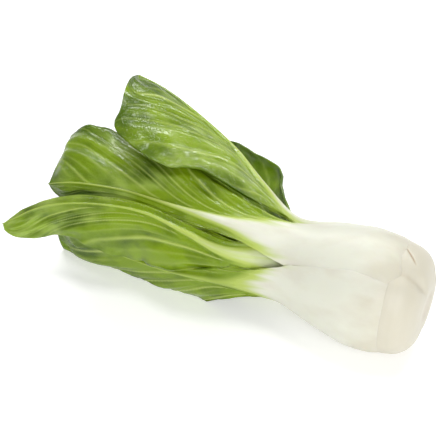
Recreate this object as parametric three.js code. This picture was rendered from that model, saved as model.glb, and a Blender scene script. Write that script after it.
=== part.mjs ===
// One whole head of bok choy, as cut and sold: a short crown with its trimmed butt, and eleven leaves in
// three whorls round it. Each leaf is a thick white stalk, which runs on into the blade as its midrib, and
// a thin green blade with its side veins raised on the outer face. The head lies on its side on a table.
// Millimetres, +Z up. The head's axis runs along X: the butt is at +X and the leaf tips are at -X.
import * as THREE from "three";
import { mergeVertices } from "three/addons/utils/BufferGeometryUtils.js";

// Where the head lies: its axis rises a little from the bulb towards the leaves.
const BULB_X = 77;
const AXIS_HEIGHT = 28.3;
const AXIS_RISE = 0.04;
const HEAD_SHIFT = new THREE.Vector3(-1.5, -18.6, 0); // puts the origin under the middle of the head

const STALK_FINISH = { color: 0xeef0dc, roughness: 0.4, metalness: 0 };
const BLADE_FINISH = { color: 0x6f9a1f, roughness: 0.35, metalness: 0 };
const CROWN_FINISH = { color: 0xe3dcc2, roughness: 0.5, metalness: 0 };

const LAMINA = 0.9; // thickness of a blade
const JOINT_GAP = 0.3; // kept between a stalk and the blade that grows from it
const FOLD_GAP = 1.35; // more of it where a side folds in behind the midrib
const STALK_ROUNDING = 24; // length over which a stalk's end takes its cross-section
const BASE_THINNING = [-14, 16]; // places from the base between which the stalk gains its thickness
const BLADE_THINNING = [-20, 45]; // places from the neck between which it thins to the blade
const BLADE_LEAD = 8; // how far before the neck the blade begins
const NECK_BLEND = 12; // either side of the neck, where the round stalk passes into the blade's form
const TURN_SPAN = [0.3, 1.1]; // shares of the stalk's length between which a leaf turns round the axis
const OPENING = [0.02, 0.45]; // shares of the blade between which it opens out flat

const RIB_TIP = 0.8; // half width of the midrib towards the tip
const RIB_TAPER = 4.6;
const RIB_HEIGHT = 2.6;
const TIP_FADE = 14; // length over which the midrib closes at the tip
const VEIN_HEIGHT = 0.7;
const VEIN_SWEEP = 1.7; // how much the side veins run forward, 1 for none
const MARGIN_RISE = 1.1;
const TAPER_SPAN = 0.33; // share of the blade over which a taper comes in
const SIDE_PHASE = 0.37; // how much the waves of the second side run ahead

// The crown's outline from the middle of the butt to its growing tip, as [radius, x], and the notches
// round it, in degrees.
const CROWN_PROFILE = [[0, 104.4], [4, 104.5], [8, 105.3], [12, 106], [17.2, 105.3], [21.2, 102.9],
  [23.6, 99.8], [24.2, 97.2], [22.4, 95.7], [18, 95.4], [13, 94.8], [9, 93.4], [7, 91.4], [5.2, 89], [4, 86],
  [3, 82], [0, 78]];
const CROWN_NOTCHES = [71, 153, 277];
const CROWN_NOTCH_DEPTH = 1.8;
const CROWN_NOTCH_WIDTH = 8;
const CROWN_RIM = [11, 20]; // radii between which the notches deepen
const CROWN_MIDDLE = 98.5;
const CROWN_ROWS = 22;
const CROWN_SEGMENTS = 36;

// A whorl's stalks: the outer face's profile as [x, radius], half widths as [share of the stalk's length,
// half width], thickness at the middle, how far one margin stands out over the next stalk's, how far the
// margins dip, and the thickness at the margins.
const WHORLS = {
  outer: {
    profile: [[92.5, 19.4], [94.5, 21.1], [94.5, 23.8], [92.2, 26.4], [87, 28.4], [80, 29.2], [72, 28.9],
      [58, 26], [36, 21]],
    halfWidths: [[0, 11.3], [0.04, 13], [0.08, 14.8], [0.14, 16.4], [0.26, 18.2], [0.42, 19],
      [0.66, 15.5], [1, 10.4]],
    thickness: 6, tilt: 0.065, dip: 1.1, gutter: 1.3,
  },
  middle: {
    profile: [[89.6, 8.6], [91.4, 11.6], [90.2, 15], [86, 17.8], [77, 20.4], [60, 18.8], [38, 15]],
    halfWidths: [[0, 5], [0.15, 9.5], [0.3, 12.6], [0.5, 12.8], [0.75, 10], [1, 7]],
    thickness: 4, tilt: 0.07, dip: 0.9, gutter: 1.2,
  },
  heart: {
    profile: [[84, 5.6], [85.8, 8], [84.8, 11], [80.5, 13], [72, 13.9], [58, 12.8], [40, 9.4]],
    halfWidths: [[0, 4.4], [0.2, 9.5], [0.4, 14.5], [0.6, 13.5], [1, 6.4]],
    thickness: 2.6, tilt: 0.09, dip: 0.6, gutter: 0.8,
  },
};

// The leaves. azimuth is the place round the axis at the base and at the neck, in degrees: 0 faces the near
// side, 90 up, 180 the far side. rib is the midrib's way beyond the neck as [x, outward, sideways]. What
// comes in twos is for the blade's two sides, the one at lower azimuth first: the half width, how far
// beyond the neck the side begins, a fold in degrees at the midrib, a curl in degrees from there to the
// margin, both positive towards the axis, a ruffle of the margin and a lean of the margin towards the tip.
// waves is how many times the ruffle repeats and phase where it starts. The margin is farthest out at the
// share widest of the blade, and ends the rounder the larger blunt is. taper is how much narrower the outer
// part is. roll turns the blade about its midrib, girth widens the stalk, and lift keeps the stalk off the
// table.
const LEAF_DEFAULTS = {
  lean: [0, 0], waves: 3, widest: 0.66, blunt: 3, taper: 0, roll: 0, girth: 1, lift: 0,
};
const LEAVES = [
  { name: "leaf_01", whorl: "outer", azimuth: [88, 70], halfWidth: [9, 34], start: [28, 0], fold: [66, -14],
    curl: [10, 38], ruffle: [0.4, 2.2], lean: [0, 10], phase: 0.4, blunt: 4, widest: 0.8,
    rib: [[10, 24.5, -3.4], [-14, 24, -4.2], [-44, 21, -3.6], [-68, 18, -6], [-80, 15, -8], [-88, 11, -9]] },
  { name: "leaf_02", whorl: "outer", azimuth: [8, -8], girth: 1.2, halfWidth: [47, 20], start: [17, 10],
    fold: [0, 26], curl: [30, 40], ruffle: [2, 2], lean: [16, 0], phase: 1.4, blunt: 1.3,
    widest: 0.7,
    rib: [[10, 21, -5], [-20, 21.5, -11], [-50, 21, -13], [-72, 20, -14], [-84, 17, -15]] },
  { name: "leaf_03", whorl: "outer", azimuth: [160, 134], halfWidth: [46, 24], start: [4, 4], fold: [14, 50],
    curl: [52, 40], ruffle: [1.6, 2], lean: [3, 0], phase: 2.2, blunt: 3, widest: 0.66,
    rib: [[12, 30, 4], [-8, 42, 8], [-30, 52, 9], [-52, 60, 9], [-68, 63, 7]] },
  { name: "leaf_04", whorl: "outer", azimuth: [232, 200], halfWidth: [24, 24], start: [0, 0],
    fold: [0, -10], curl: [20, -20], roll: -30, ruffle: [2, 2], phase: 0.9, widest: 0.5,
    rib: [[14, 33, 0], [-6, 48, 0], [-28, 60, 0], [-46, 66, 2], [-54, 66, 4]] },
  { name: "leaf_05", whorl: "outer", azimuth: [297, 268], girth: 0.76, lift: 2.6, halfWidth: [15, 15],
    start: [0, 0], fold: [0, 0], curl: [20, 20], ruffle: [1, 1], phase: 2.9,
    rib: [[12, 23, -2], [-14, 26, -5], [-40, 28, -6], [-62, 30, -6], [-74, 31, -6]] },
  { name: "leaf_06", whorl: "middle", azimuth: [52, 38], halfWidth: [29, 6.5], start: [22, 24],
    fold: [20, 104], curl: [20, 10], ruffle: [2.6, 0.4], phase: 0.2, blunt: 4, widest: 0.42, taper: 0.45,
    rib: [[13, 23.5, -3], [-9, 25.5, 0], [-31, 27, 2.4], [-56, 28, -1.6], [-80, 28, -10.5], [-103, 22, -27]] },
  { name: "leaf_07", whorl: "middle", azimuth: [124, 103], halfWidth: [11, 12], start: [6, 6],
    fold: [10, 20], curl: [50, 70], ruffle: [1, 1], phase: 0.7,
    rib: [[14, 15.5, 0], [-14, 16, 2], [-40, 14, 4], [-60, 11, 5]] },
  { name: "leaf_08", whorl: "middle", azimuth: [196, 172], halfWidth: [14, 14], start: [6, 6],
    fold: [15, 15], curl: [60, 60], ruffle: [1, 1], phase: 1.1,
    rib: [[14, 18, 0], [-12, 23, 2], [-38, 26, 4], [-60, 26, 5]] },
  { name: "leaf_09", whorl: "middle", azimuth: [286, 250], halfWidth: [14, 14], start: [6, 6],
    fold: [15, 15], curl: [60, 60], ruffle: [1, 1], phase: 2.2,
    rib: [[14, 14.5, 0], [-14, 15, 0], [-42, 15, 0], [-64, 14, 0]] },
  { name: "leaf_10", whorl: "heart", azimuth: [90, 70], halfWidth: [8, 8], start: [6, 6], fold: [20, 20],
    curl: [90, 90], ruffle: [0.5, 0.5], waves: 2, phase: 0,
    rib: [[16, 8, 0], [-8, 6, -1], [-26, 4, -2]] },
  { name: "leaf_11", whorl: "heart", azimuth: [270, 250], halfWidth: [8, 8], start: [6, 6], fold: [20, 20],
    curl: [90, 90], ruffle: [0.5, 0.5], waves: 2, phase: 0.5,
    rib: [[16, 8.5, 0], [-4, 7.5, 0], [-22, 7, 0]] },
];

// The grid of a leaf: rows along it, and columns across the midrib and across each side, as shares.
const STALK_ROWS = 9;
const STALK_ROW_POWER = 1.25; // above 1 the rows crowd at the base
const BLADE_ROWS = 15;
const BLADE_ROW_EASE = 0.45; // above 0 they crowd at the tip
const RIB_COLUMNS = [-1, -0.62, -0.28, 0.28, 0.62, 1];
const WING_COLUMNS = [0, 0.2, 0.44, 0.7, 0.88, 1];
const RIB_END_ROW = STALK_ROWS + BLADE_ROWS - 3;
const SWEEP_POWER = 1.2;
const TIP_WIDTH = 1.2; // the least width of a side, which closes at the tip
const WELD = 1e-3;

const degrees = THREE.MathUtils.degToRad;
const { clamp, lerp, smoothstep } = THREE.MathUtils;

// Value at t of a list of [place, value] pairs, smooth between them.
function along(pairs, t) {
  let i = 1;
  while (i < pairs.length - 1 && t > pairs[i][0]) i++;
  const [t0, a] = pairs[i - 1];
  const [t1, b] = pairs[i];
  const straight = clamp((t - t0) / (t1 - t0), 0, 1);
  return lerp(a, b, (smoothstep(t, t0, t1) + straight) / 2);
}

const axisAt = (x) => new THREE.Vector3(x, 0, AXIS_HEIGHT + AXIS_RISE * (BULB_X - x));
const outward = (angle) => new THREE.Vector3(0, -Math.cos(angle), Math.sin(angle));
const sideways = (angle) => new THREE.Vector3(0, Math.sin(angle), Math.cos(angle));

// How far an arc that starts at angle start and bends by bend per millimetre gets across and inward.
function arc(start, bend, length) {
  if (Math.abs(bend) < 1e-5) return [length * Math.cos(start), length * Math.sin(start)];
  const end = start + bend * length;
  return [(Math.sin(end) - Math.sin(start)) / bend, (Math.cos(start) - Math.cos(end)) / bend];
}

class Leaf {
  constructor(spec) {
    Object.assign(this, LEAF_DEFAULTS, spec);
    this.stalk = WHORLS[spec.whorl];
    const { profile, halfWidths } = this.stalk;
    const stalk = profile.map(([x, r]) => new THREE.Vector3(x, r, 0));
    const blade = spec.rib.map((p) => new THREE.Vector3(...p));
    this.curve = new THREE.CatmullRomCurve3([...stalk, ...blade], false, "catmullrom", 0.5);
    this.curve.arcLengthDivisions = 400;
    this.length = this.curve.getLength();
    this.neck = this.#lengthAtPoint(profile.length - 1);
    this.neckRadius = profile[profile.length - 1][1];
    this.neckHalf = this.girth * halfWidths[halfWidths.length - 1][1];
    this.bladeStart = this.neck - BLADE_LEAD;
  }

  #lengthAtPoint(index) {
    const lengths = this.curve.getLengths();
    return lengths[Math.round((index / (this.curve.points.length - 1)) * (lengths.length - 1))];
  }

  azimuthAt(s) {
    const [from, to] = TURN_SPAN;
    return degrees(lerp(...this.azimuth, smoothstep(s, this.neck * from, this.neck * to)));
  }

  bladeShare(s) {
    return clamp((s - this.bladeStart) / (this.length - this.bladeStart), 0, 1);
  }

  // Share of the way from the neck to the tip.
  beyondNeck(s) {
    return clamp((s - this.neck) / (this.length - this.neck), 0, 1);
  }

  // Half width of the stalk, and past the neck of the midrib.
  ribHalf(s) {
    if (s <= this.neck) return this.girth * along(this.stalk.halfWidths, s / this.neck);
    const rib = RIB_TIP + (this.neckHalf - RIB_TIP) * Math.pow(1 - this.beyondNeck(s), RIB_TAPER);
    return rib * Math.min(1, (this.length - s) / TIP_FADE);
  }

  // Share of the way from the midrib's middle line to its edge.
  ribShare(s, y) {
    return clamp(Math.abs(y) / Math.max(this.ribHalf(s), 0.01), 0, 1);
  }

  // Where one side's blade begins, clear of the midrib's edge.
  hinge(s, side) {
    const folded = Math.sin(degrees(clamp(this.fold[side], 0, 90)));
    const toTip = clamp((this.length - s) / TIP_FADE, 0, 1);
    return this.ribHalf(s) + (JOINT_GAP + FOLD_GAP * folded) * toTip;
  }

  // Width of the blade on one side, from where it begins to the margin.
  sideWidth(s, side) {
    const start = this.neck + this.start[side];
    const u = clamp((s - start) / (this.length - start), 0, 1);
    const { widest } = this;
    const rising = Math.pow(Math.sin((Math.PI / 2) * Math.min(u / widest, 1)), MARGIN_RISE);
    const past = clamp((u - widest) / (1 - widest), 0, 1);
    const falling = Math.sqrt(Math.max(0, 1 - Math.pow(past, this.blunt)));
    const tapered = 1 - this.taper * smoothstep(u, widest, widest + TAPER_SPAN);
    return this.halfWidth[side] * rising * falling * tapered;
  }

  ribPoint(s) {
    const q = this.curve.getPointAt(clamp(s / this.length, 0, 1));
    const angle = this.azimuthAt(s);
    return axisAt(q.x).addScaledVector(outward(angle), q.y).addScaledVector(sideways(angle), q.z);
  }

  // A point of the stalk's outer face, which wraps round the head's axis.
  stalkPoint(s, y, blend) {
    const q = this.curve.getPointAt(clamp(s / this.length, 0, 1));
    const turned = this.azimuthAt(s) + y / q.y;
    const share = y / this.ribHalf(Math.min(s, this.neck));
    const settled = smoothstep(s, 0, STALK_ROUNDING) * (1 - blend);
    const { tilt, dip } = this.stalk;
    const away = q.y + settled * (tilt * y - dip * share * share);
    return axisAt(q.x).addScaledVector(outward(turned), away).addScaledVector(sideways(turned), q.z);
  }

  // A point of the blade's outer face, which opens, folds, curls and waves about the midrib.
  bladePoint(s, y) {
    const step = 0.5;
    const top = Math.min(s + step, this.length);
    const tangent = this.ribPoint(top).sub(this.ribPoint(top - 2 * step)).normalize();
    const sideWay = sideways(this.azimuthAt(s));
    const across = sideWay.addScaledVector(tangent, -sideWay.dot(tangent)).normalize();
    const normal = new THREE.Vector3().crossVectors(across, tangent);
    const u = this.bladeShare(s);
    const opened = smoothstep(u, ...OPENING);
    const turn = degrees(this.roll) * opened;
    const rolledAcross = across.clone().multiplyScalar(Math.cos(turn)).addScaledVector(normal, Math.sin(turn));
    const rolledNormal = normal.multiplyScalar(Math.cos(turn)).addScaledVector(across, -Math.sin(turn));

    const side = y < 0 ? 0 : 1;
    const rib = Math.min(Math.abs(y), this.hinge(s, side));
    const beyond = Math.abs(y) - rib;
    const wrap = lerp(1 / this.neckRadius, 0, opened);
    let [over, inward] = arc(0, wrap, rib);
    let heading = wrap * rib;
    if (beyond > 0) {
      const start = heading + degrees(this.fold[side]) * opened;
      const bend = lerp(wrap, degrees(this.curl[side]) / this.halfWidth[side], opened);
      const [moreOver, moreInward] = arc(start, bend, beyond);
      over += moreOver;
      inward += moreInward;
      heading = start + bend * beyond;
    }
    const toMargin = clamp(beyond / (this.sideWidth(s, side) + 1), 0, 1);
    const turns = this.waves * u + this.phase + side * SIDE_PHASE;
    const wave = this.ruffle[side] * opened * toMargin * toMargin * Math.sin(2 * Math.PI * turns);
    const forward = this.lean[side] * opened * Math.pow(beyond / this.halfWidth[side], 1.5);
    const sign = side ? 1 : -1;
    return this.ribPoint(s)
      .addScaledVector(rolledAcross, sign * (over + wave * Math.sin(heading)))
      .addScaledVector(rolledNormal, wave * Math.cos(heading) - inward)
      .addScaledVector(tangent, forward);
  }

  // A point of the outer face, s along from the base and y across from the midrib.
  point(s, y) {
    const blend = smoothstep(s, this.neck - NECK_BLEND, this.neck + NECK_BLEND);
    if (blend === 0) return this.stalkPoint(s, y, blend);
    const blade = this.bladePoint(s, y);
    if (blend === 1) return blade;
    return this.stalkPoint(s, y, blend).lerp(blade, blend);
  }

  // Outward unit normal of the outer face.
  normal(s, y) {
    const step = 0.2;
    const a = this.point(s + step, y).sub(this.point(s - step, y));
    const b = this.point(s, y + step).sub(this.point(s, y - step));
    return b.cross(a).normalize();
  }

  // How far the leaf's body goes inward from the outer face.
  depth(s, y) {
    const { thickness, gutter } = this.stalk;
    const [from, to] = BLADE_THINNING;
    const thinned = smoothstep(s, this.neck + from, this.neck + to);
    const full = lerp(thickness * smoothstep(s, ...BASE_THINNING), LAMINA, thinned);
    const share = this.ribShare(s, y);
    return Math.max(LAMINA, lerp(Math.min(gutter, full), full, 1 - share * share));
  }

  // How far the midrib stands out of the outer face.
  relief(s, y) {
    const t = this.beyondNeck(s);
    const share = this.ribShare(s, y);
    return RIB_HEIGHT * smoothstep(t, 0, 0.3) * (1 - 0.75 * t) * (1 - share * share);
  }
}

// A closed solid over the cells of a grid that keep(row, column) picks. place gives a grid point on the
// outer face (side 1) or the inner face (side 0).
function plate(rows, columns, keep, place) {
  const at = (i, j, side) => (i * columns + j) * 2 + side;
  const kept = (i, j) => i >= 0 && j >= 0 && i < rows - 1 && j < columns - 1 && keep(i, j);
  const positions = [];
  for (let i = 0; i < rows; i++)
    for (let j = 0; j < columns; j++)
      for (const side of [0, 1]) positions.push(...place(i, j, side).toArray());
  const index = [];
  const quad = (a, b, c, d) => index.push(a, b, c, a, c, d);
  for (let i = 0; i < rows - 1; i++)
    for (let j = 0; j < columns - 1; j++) {
      if (!kept(i, j)) continue;
      quad(at(i, j, 1), at(i, j + 1, 1), at(i + 1, j + 1, 1), at(i + 1, j, 1));
      quad(at(i, j, 0), at(i + 1, j, 0), at(i + 1, j + 1, 0), at(i, j + 1, 0));
      if (!kept(i - 1, j)) quad(at(i, j, 0), at(i, j + 1, 0), at(i, j + 1, 1), at(i, j, 1));
      if (!kept(i + 1, j)) quad(at(i + 1, j + 1, 0), at(i + 1, j, 0), at(i + 1, j, 1), at(i + 1, j + 1, 1));
      if (!kept(i, j - 1)) quad(at(i + 1, j, 0), at(i, j, 0), at(i, j, 1), at(i + 1, j, 1));
      if (!kept(i, j + 1)) quad(at(i, j + 1, 0), at(i + 1, j + 1, 0), at(i + 1, j + 1, 1), at(i, j + 1, 1));
    }
  const raw = new THREE.BufferGeometry();
  raw.setAttribute("position", new THREE.Float32BufferAttribute(positions, 3));
  raw.setIndex(index);
  const welded = mergeVertices(raw, WELD);
  const corners = welded.index.array;
  const whole = [];
  for (let k = 0; k < corners.length; k += 3) {
    const [a, b, c] = [corners[k], corners[k + 1], corners[k + 2]];
    if (a !== b && b !== c && c !== a) whole.push(a, b, c);
  }
  welded.setIndex(whole);
  welded.computeVertexNormals();
  return welded;
}

// Rests a point on the table, or on a floor above it.
function onTable(point, floor) {
  point.z = Math.max(point.z, floor);
  return point;
}

function namedMesh(name, shape, finish) {
  const mesh = new THREE.Mesh(shape, new THREE.MeshStandardMaterial(finish));
  mesh.name = name;
  return mesh;
}

// A leaf's stalk, with its midrib, and its blade, which is in one piece beyond the midrib's end.
function leafMeshes(spec) {
  const leaf = new Leaf(spec);
  const rows = [];
  for (let i = 0; i < STALK_ROWS; i++) rows.push(leaf.bladeStart * Math.pow(i / STALK_ROWS, STALK_ROW_POWER));
  for (let i = 0; i <= BLADE_ROWS; i++) {
    const t = i / BLADE_ROWS;
    const eased = lerp(t, Math.sin((t * Math.PI) / 2), BLADE_ROW_EASE);
    rows.push(lerp(leaf.bladeStart, leaf.length, eased));
  }
  const columns = [
    ...WING_COLUMNS.toReversed().map((wing) => ({ sign: -1, wing })),
    ...RIB_COLUMNS.map((rib) => ({ sign: 0, rib })),
    ...WING_COLUMNS.map((wing) => ({ sign: 1, wing })),
  ];
  const ribFrom = WING_COLUMNS.length;
  const ribTo = ribFrom + RIB_COLUMNS.length;
  const firstRow = spec.start.map((start) => rows.findIndex((s) => s >= leaf.neck + start));

  const place = (i, j, face) => {
    const { sign, rib, wing } = columns[j];
    let s = rows[i];
    let y = sign === 0 ? rib * leaf.ribHalf(s) : 0;
    let bump = 0;
    if (sign !== 0) {
      const side = sign < 0 ? 0 : 1;
      const u = leaf.bladeShare(s);
      const marginS = lerp(leaf.bladeStart, leaf.length, 1 - Math.pow(1 - u, VEIN_SWEEP));
      const width = Math.max(leaf.sideWidth(marginS, side), TIP_WIDTH * (1 - u));
      s = lerp(s, marginS, Math.pow(wing, SWEEP_POWER));
      y = sign * (leaf.hinge(s, side) + width * wing);
      const onVein = i % 2 === 0 ? 1 : 0;
      bump = onVein * VEIN_HEIGHT * (1 - wing) * smoothstep(u, 0.05, 0.2) * (1 - u);
    }
    const normal = leaf.normal(clamp(s, 0.5, leaf.length - 0.5), y);
    const point = leaf.point(s, y);
    const floor = leaf.lift * (1 - smoothstep(s, leaf.neck * 0.7, leaf.neck));
    if (face) return onTable(point.addScaledVector(normal, leaf.relief(s, y) + bump), floor);
    return onTable(point.addScaledVector(normal, -leaf.depth(s, y)), floor + LAMINA);
  };
  const inStalk = (i, j) => j >= ribFrom && j < ribTo - 1 && i < RIB_END_ROW;
  const inSide = (i, j) => (j < ribFrom - 1 && i >= firstRow[0]) || (j >= ribTo && i >= firstRow[1]);
  const inTip = (i) => i > RIB_END_ROW && i < rows.length - 1;
  const stalk = plate(rows.length, columns.length, inStalk, place);
  const blade = plate(rows.length, columns.length, (i, j) => inSide(i, j) || inTip(i), place);
  return [
    namedMesh(`${spec.name}_stalk`, stalk, STALK_FINISH),
    namedMesh(`${spec.name}_blade`, blade, BLADE_FINISH),
  ];
}

// The crown: a closed surface of revolution round the head's axis, pinched at the notches between the
// cushions that the trimmed outer leaves left.
function crownMesh() {
  const profile = new THREE.CatmullRomCurve3(CROWN_PROFILE.map(([r, x]) => new THREE.Vector3(r, x, 0)));
  const rings = profile.getPoints(CROWN_ROWS);
  const place = (i, j) => {
    const angle = (2 * Math.PI * j) / CROWN_SEGMENTS;
    const apart = CROWN_NOTCHES.map((notch) => {
      const turn = Math.abs(THREE.MathUtils.radToDeg(angle) - notch) % 360;
      return Math.min(turn, 360 - turn);
    });
    const { x: radius, y: x } = rings[i];
    const depth = CROWN_NOTCH_DEPTH * Math.exp(-Math.min(...apart) / CROWN_NOTCH_WIDTH);
    const pinch = depth * smoothstep(radius, ...CROWN_RIM);
    const end = x > CROWN_MIDDLE ? pinch : 0;
    return axisAt(x - end).addScaledVector(outward(angle), Math.max(radius, 0) - pinch);
  };
  const positions = [];
  for (let i = 1; i < rings.length - 1; i++)
    for (let j = 0; j < CROWN_SEGMENTS; j++) positions.push(...place(i, j).toArray());
  const ends = [axisAt(rings[0].y), axisAt(rings[rings.length - 1].y)];
  for (const end of ends) positions.push(...end.toArray());
  const inner = rings.length - 2;
  const first = inner * CROWN_SEGMENTS;
  const last = first - CROWN_SEGMENTS;
  const index = [];
  for (let j = 0; j < CROWN_SEGMENTS; j++) {
    const next = (j + 1) % CROWN_SEGMENTS;
    index.push(first, next, j);
    index.push(first + 1, last + j, last + next);
    for (let i = 0; i < inner - 1; i++) {
      const a = i * CROWN_SEGMENTS + j;
      const b = i * CROWN_SEGMENTS + next;
      index.push(a, b + CROWN_SEGMENTS, a + CROWN_SEGMENTS);
      index.push(a, b, b + CROWN_SEGMENTS);
    }
  }
  const shape = new THREE.BufferGeometry();
  shape.setAttribute("position", new THREE.Float32BufferAttribute(positions, 3));
  shape.setIndex(index);
  shape.computeVertexNormals();
  return namedMesh("crown", shape, CROWN_FINISH);
}

const head = new THREE.Group();
head.add(crownMesh());
for (const spec of LEAVES) head.add(...leafMeshes(spec));
head.position.copy(HEAD_SHIFT);

export default head;
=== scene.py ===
"""Looks of a whole head of bok choy that lies on its side on a pale table.

Lengths are in metres in the row frame. The leaves' own sizes are in millimetres, as on the real head: the
axis runs along X with the cut butt at +X, and the leaf tips are at -X.
"""

import logging
import math
from dataclasses import dataclass
from enum import Enum

import bmesh
import bpy
import numpy as np
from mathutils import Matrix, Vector

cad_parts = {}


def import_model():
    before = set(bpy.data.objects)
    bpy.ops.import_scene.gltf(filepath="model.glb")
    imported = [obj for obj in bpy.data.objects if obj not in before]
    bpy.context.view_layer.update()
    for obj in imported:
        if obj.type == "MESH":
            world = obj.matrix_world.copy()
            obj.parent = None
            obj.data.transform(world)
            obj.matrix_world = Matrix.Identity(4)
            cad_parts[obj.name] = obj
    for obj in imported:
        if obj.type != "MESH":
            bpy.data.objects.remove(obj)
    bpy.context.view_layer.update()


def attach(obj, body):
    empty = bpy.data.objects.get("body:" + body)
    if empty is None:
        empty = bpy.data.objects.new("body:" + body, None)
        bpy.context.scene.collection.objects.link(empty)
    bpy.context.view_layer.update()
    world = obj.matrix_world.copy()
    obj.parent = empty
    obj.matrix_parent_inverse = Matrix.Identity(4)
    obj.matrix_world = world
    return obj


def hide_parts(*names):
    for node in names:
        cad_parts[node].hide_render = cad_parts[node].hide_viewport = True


log = logging.getLogger("bok_choy")

Pair = tuple[float, float]
Triple = tuple[float, float, float]
Pairs = tuple[Pair, ...]
Points = tuple[Triple, ...]
Values = np.ndarray | float
Socket = bpy.types.NodeSocket

MM = 0.001
WELD = 1e-6  # distance within which points are joined, in metres
MAP_PER_MM = 0.01  # size of a millimetre on a leaf's own map

BULB_X = 77.0
AXIS_HEIGHT = 28.3  # height of the head's axis above the table at the bulb
AXIS_RISE = 0.04  # how much it rises per mm towards the tips
HEAD_SHIFT = (-1.5, -18.6, 0.0)  # puts the origin under the middle of the head

LAMINA = 0.9  # thickness of a blade
JOINT_GAP = 0.3  # kept between a stalk and the blade that grows from it
FOLD_GAP = 1.35  # more of it where a side folds in behind the midrib
STALK_ROUNDING = 24.0  # length over which a stalk's end takes its cross-section
BASE_THINNING = (-14.0, 16.0)  # places from the base between which the stalk gains its thickness
BLADE_THINNING = (-20.0, 45.0)  # places from the neck between which it thins to the blade
BLADE_LEAD = 8.0  # how far before the neck the blade begins
NECK_BLEND = 12.0  # either side of the neck, where the round stalk passes into the blade's form
TURN_SPAN = (0.3, 1.1)  # shares of the stalk's length between which a leaf turns round the axis
OPENING = (0.02, 0.45)  # shares of the blade between which it opens out flat
FOLD_EASE = 1.2  # width over which a side takes up its fold
SPREAD_START = 12.0  # length over which a stalk's extra spread comes in at the base
SPREAD_END = (0.6, 0.95)  # shares of the stalk's length between which that spread goes out
NARROWEST = 0.01  # least half width that a distance is divided by

RIB_TIP = 0.8  # half width of the midrib towards the tip
RIB_TAPER = 4.6
RIB_HEIGHT = 2.6
RIB_RISE = 0.3  # share of the midrib over which it comes to its height
RIB_FALL = 0.75  # share of the height that it loses by the tip
TIP_FADE = 14.0  # length over which the midrib closes at the tip
TAPER_SPAN = 0.33  # share of the blade over which a taper comes in
VEIN_SWEEP = 1.7  # how much the side veins run forward, 1 for none
SIDE_PHASE = 0.37  # how much the waves of the second side run ahead
RIPPLE_HEIGHT = 0.22  # the margin's small second ripple, as shares of its waves
RIPPLE_RATE = 3.7
RIPPLE_PHASE = 2.3


def smoothstep(x: Values, low: float, high: float) -> Values:
    """Smooth ramp from 0 at low to 1 at high.

    Args:
        x: Values.
        low: Where the ramp starts.
        high: Where it ends.

    Returns:
        The ramp at each value.
    """
    t = np.clip((x - low) / (high - low), 0.0, 1.0)
    return t * t * (3.0 - 2.0 * t)


def mix(a: Values, b: Values, t: Values) -> Values:
    """Value between a and b at share t."""
    return a + (b - a) * t


def ridge(apart: Values, width: Values) -> Values:
    """Rounded ridge, 1 in its middle and near 0 two widths away."""
    return np.exp(-((apart / width) ** 2))


def wave(turns: Values) -> Values:
    """Sine of a number of whole turns."""
    return np.sin(2 * np.pi * turns)


def by_side(right: np.ndarray, pair: Pair) -> np.ndarray:
    """The second value of a pair where right is true, and else the first."""
    return np.where(right, pair[1], pair[0])


def along(pairs: Pairs, t: np.ndarray) -> np.ndarray:
    """Values of a table of (place, value), half straight and half eased between its entries.

    Args:
        pairs: The table, in order of place.
        t: Places.

    Returns:
        The value at each place.
    """
    places = np.array([place for place, _ in pairs])
    values = np.array([value for _, value in pairs])
    t = np.clip(t, places[0], places[-1])
    i = np.clip(np.searchsorted(places, t, side="left"), 1, len(pairs) - 1)
    share = (t - places[i - 1]) / (places[i] - places[i - 1])
    eased = smoothstep(share, 0.0, 1.0)
    return mix(values[i - 1], values[i], 0.5 * eased + 0.5 * share)


def unit(v: np.ndarray) -> np.ndarray:
    """Vectors along the last axis, made one long."""
    return v / np.maximum(np.linalg.norm(v, axis=-1, keepdims=True), 1e-12)


def axis_at(x: Values) -> np.ndarray:
    """Points of the head's axis at these places along X, in mm."""
    return np.stack([x, np.zeros_like(x), AXIS_HEIGHT + AXIS_RISE * (BULB_X - x)], axis=-1)


def outward(angle: Values) -> np.ndarray:
    """Unit vectors away from the axis at these azimuths."""
    return np.stack([np.zeros_like(angle), -np.cos(angle), np.sin(angle)], axis=-1)


def sideways(angle: Values) -> np.ndarray:
    """Unit vectors round the axis at these azimuths."""
    return np.stack([np.zeros_like(angle), np.sin(angle), np.cos(angle)], axis=-1)


def arc(start: np.ndarray, bend: np.ndarray, length: np.ndarray) -> tuple[np.ndarray, np.ndarray]:
    """Runs over an arc from heading start that bends by bend per mm.

    Args:
        start: Headings at the start, in radians.
        bend: Bends per mm.
        length: Lengths of the runs, in mm.

    Returns:
        How far each run gets across, and how far inward.
    """
    least = 1e-5
    bend = np.where(np.abs(bend) < least, least, bend)
    end = start + bend * length
    return (np.sin(end) - np.sin(start)) / bend, (np.cos(start) - np.cos(end)) / bend


def placed(bm: bmesh.types.BMesh, name: str) -> bpy.types.Object:
    """Closes a mesh, turns its faces outward and puts it in the scene.

    Args:
        bm: The mesh, which is freed.
        name: The piece's name.

    Returns:
        The piece's object.
    """
    for face in bm.faces:
        face.smooth = True
    bmesh.ops.remove_doubles(bm, verts=bm.verts, dist=WELD)
    bmesh.ops.recalc_face_normals(bm, faces=bm.faces)
    mesh = bpy.data.meshes.new(name)
    bm.to_mesh(mesh)
    bm.free()
    made = bpy.data.objects.new(name, mesh)
    bpy.context.scene.collection.objects.link(made)
    return made


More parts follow.
